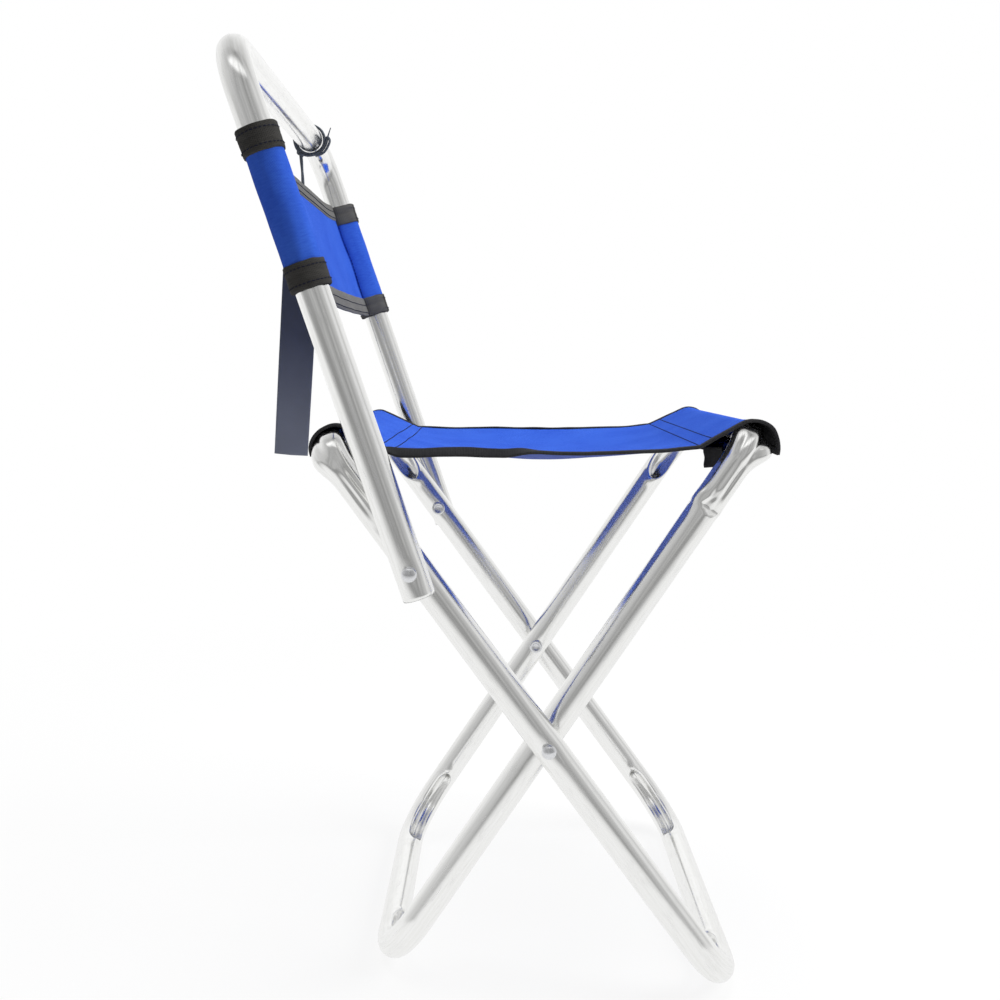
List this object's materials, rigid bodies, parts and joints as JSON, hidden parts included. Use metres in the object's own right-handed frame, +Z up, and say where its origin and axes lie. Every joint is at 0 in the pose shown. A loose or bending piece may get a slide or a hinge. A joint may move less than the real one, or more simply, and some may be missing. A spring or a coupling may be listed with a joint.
{
  "type": "folding camp chair",
  "caption": "Low folding chair: crossed bent-tube leg frames, a folding tube back frame, and a cloth seat and back band sewn round the tubes.",
  "frame": {"origin": "on the ground, under the middle of the chair's width and depth (hang tag and its cord left out)", "axes": "+Z up; the sitter faces -Y; +X is the sitter's left"},
  "size_m": [0.3804, 0.395, 0.6552],
  "materials": {
    "frame_tube": "bright drawn aluminium with fine lengthwise lines",
    "rivet": "smooth, a little duller than the tube",
    "washer": "plain moulded",
    "cloth": "plain-woven royal blue polyester",
    "binding": "black woven binding tape",
    "webbing": "charcoal grey ribbed webbing",
    "tag_card": "smooth slate-coloured card, unprinted",
    "cord": "twisted black cord"
  },
  "bodies": {
    "outer_legs": {"outer_leg_frame": "frame_tube", "crossing_rivet_left": "rivet", "crossing_rivet_right": "rivet", "back_rivet_left": "rivet", "back_rivet_right": "rivet", "crossing_washer_left": "washer", "crossing_washer_right": "washer", "back_washer_left": "washer", "back_washer_right": "washer", "seat_rear_sleeve": "cloth", "seat_rear_sleeve_tapes": "binding", "seat_panel": "cloth", "seat_edge_tape_left": "binding", "seat_edge_tape_right": "binding"},
    "inner_legs": {"inner_leg_frame": "frame_tube", "seat_front_sleeve": "cloth", "seat_front_sleeve_tapes": "binding"},
    "back": {"back_frame": "frame_tube", "back_panel": "cloth", "back_sleeve_left": "cloth", "back_sleeve_right": "cloth", "back_sleeve_bands_left": "binding", "back_sleeve_bands_right": "binding", "back_top_webbing": "webbing", "back_bottom_webbing": "webbing", "hang_tag": "tag_card", "tag_cord": "cord", "tag_cord_loop": "cord", "tag_cord_knot": "cord"}
  },
  "joints": [
    {"name": "scissor_fold", "type": "hinge", "parent": "outer_legs", "child": "inner_legs", "pos_m": [0, -0.03783, 0.187], "axis": [-1, 0, 0], "range_deg": [0, 63], "deforming": ["seat_panel", "seat_edge_tape_left", "seat_edge_tape_right"]},
    {"name": "back_fold", "type": "hinge", "parent": "outer_legs", "child": "back", "pos_m": [0, 0.05605, 0.31159], "axis": [1, 0, 0], "range_deg": [0, 157.5]}
  ],
  "couplings": [
    {"joint": "back_fold", "follows": "scissor_fold", "ratio": 2.5}
  ]
}
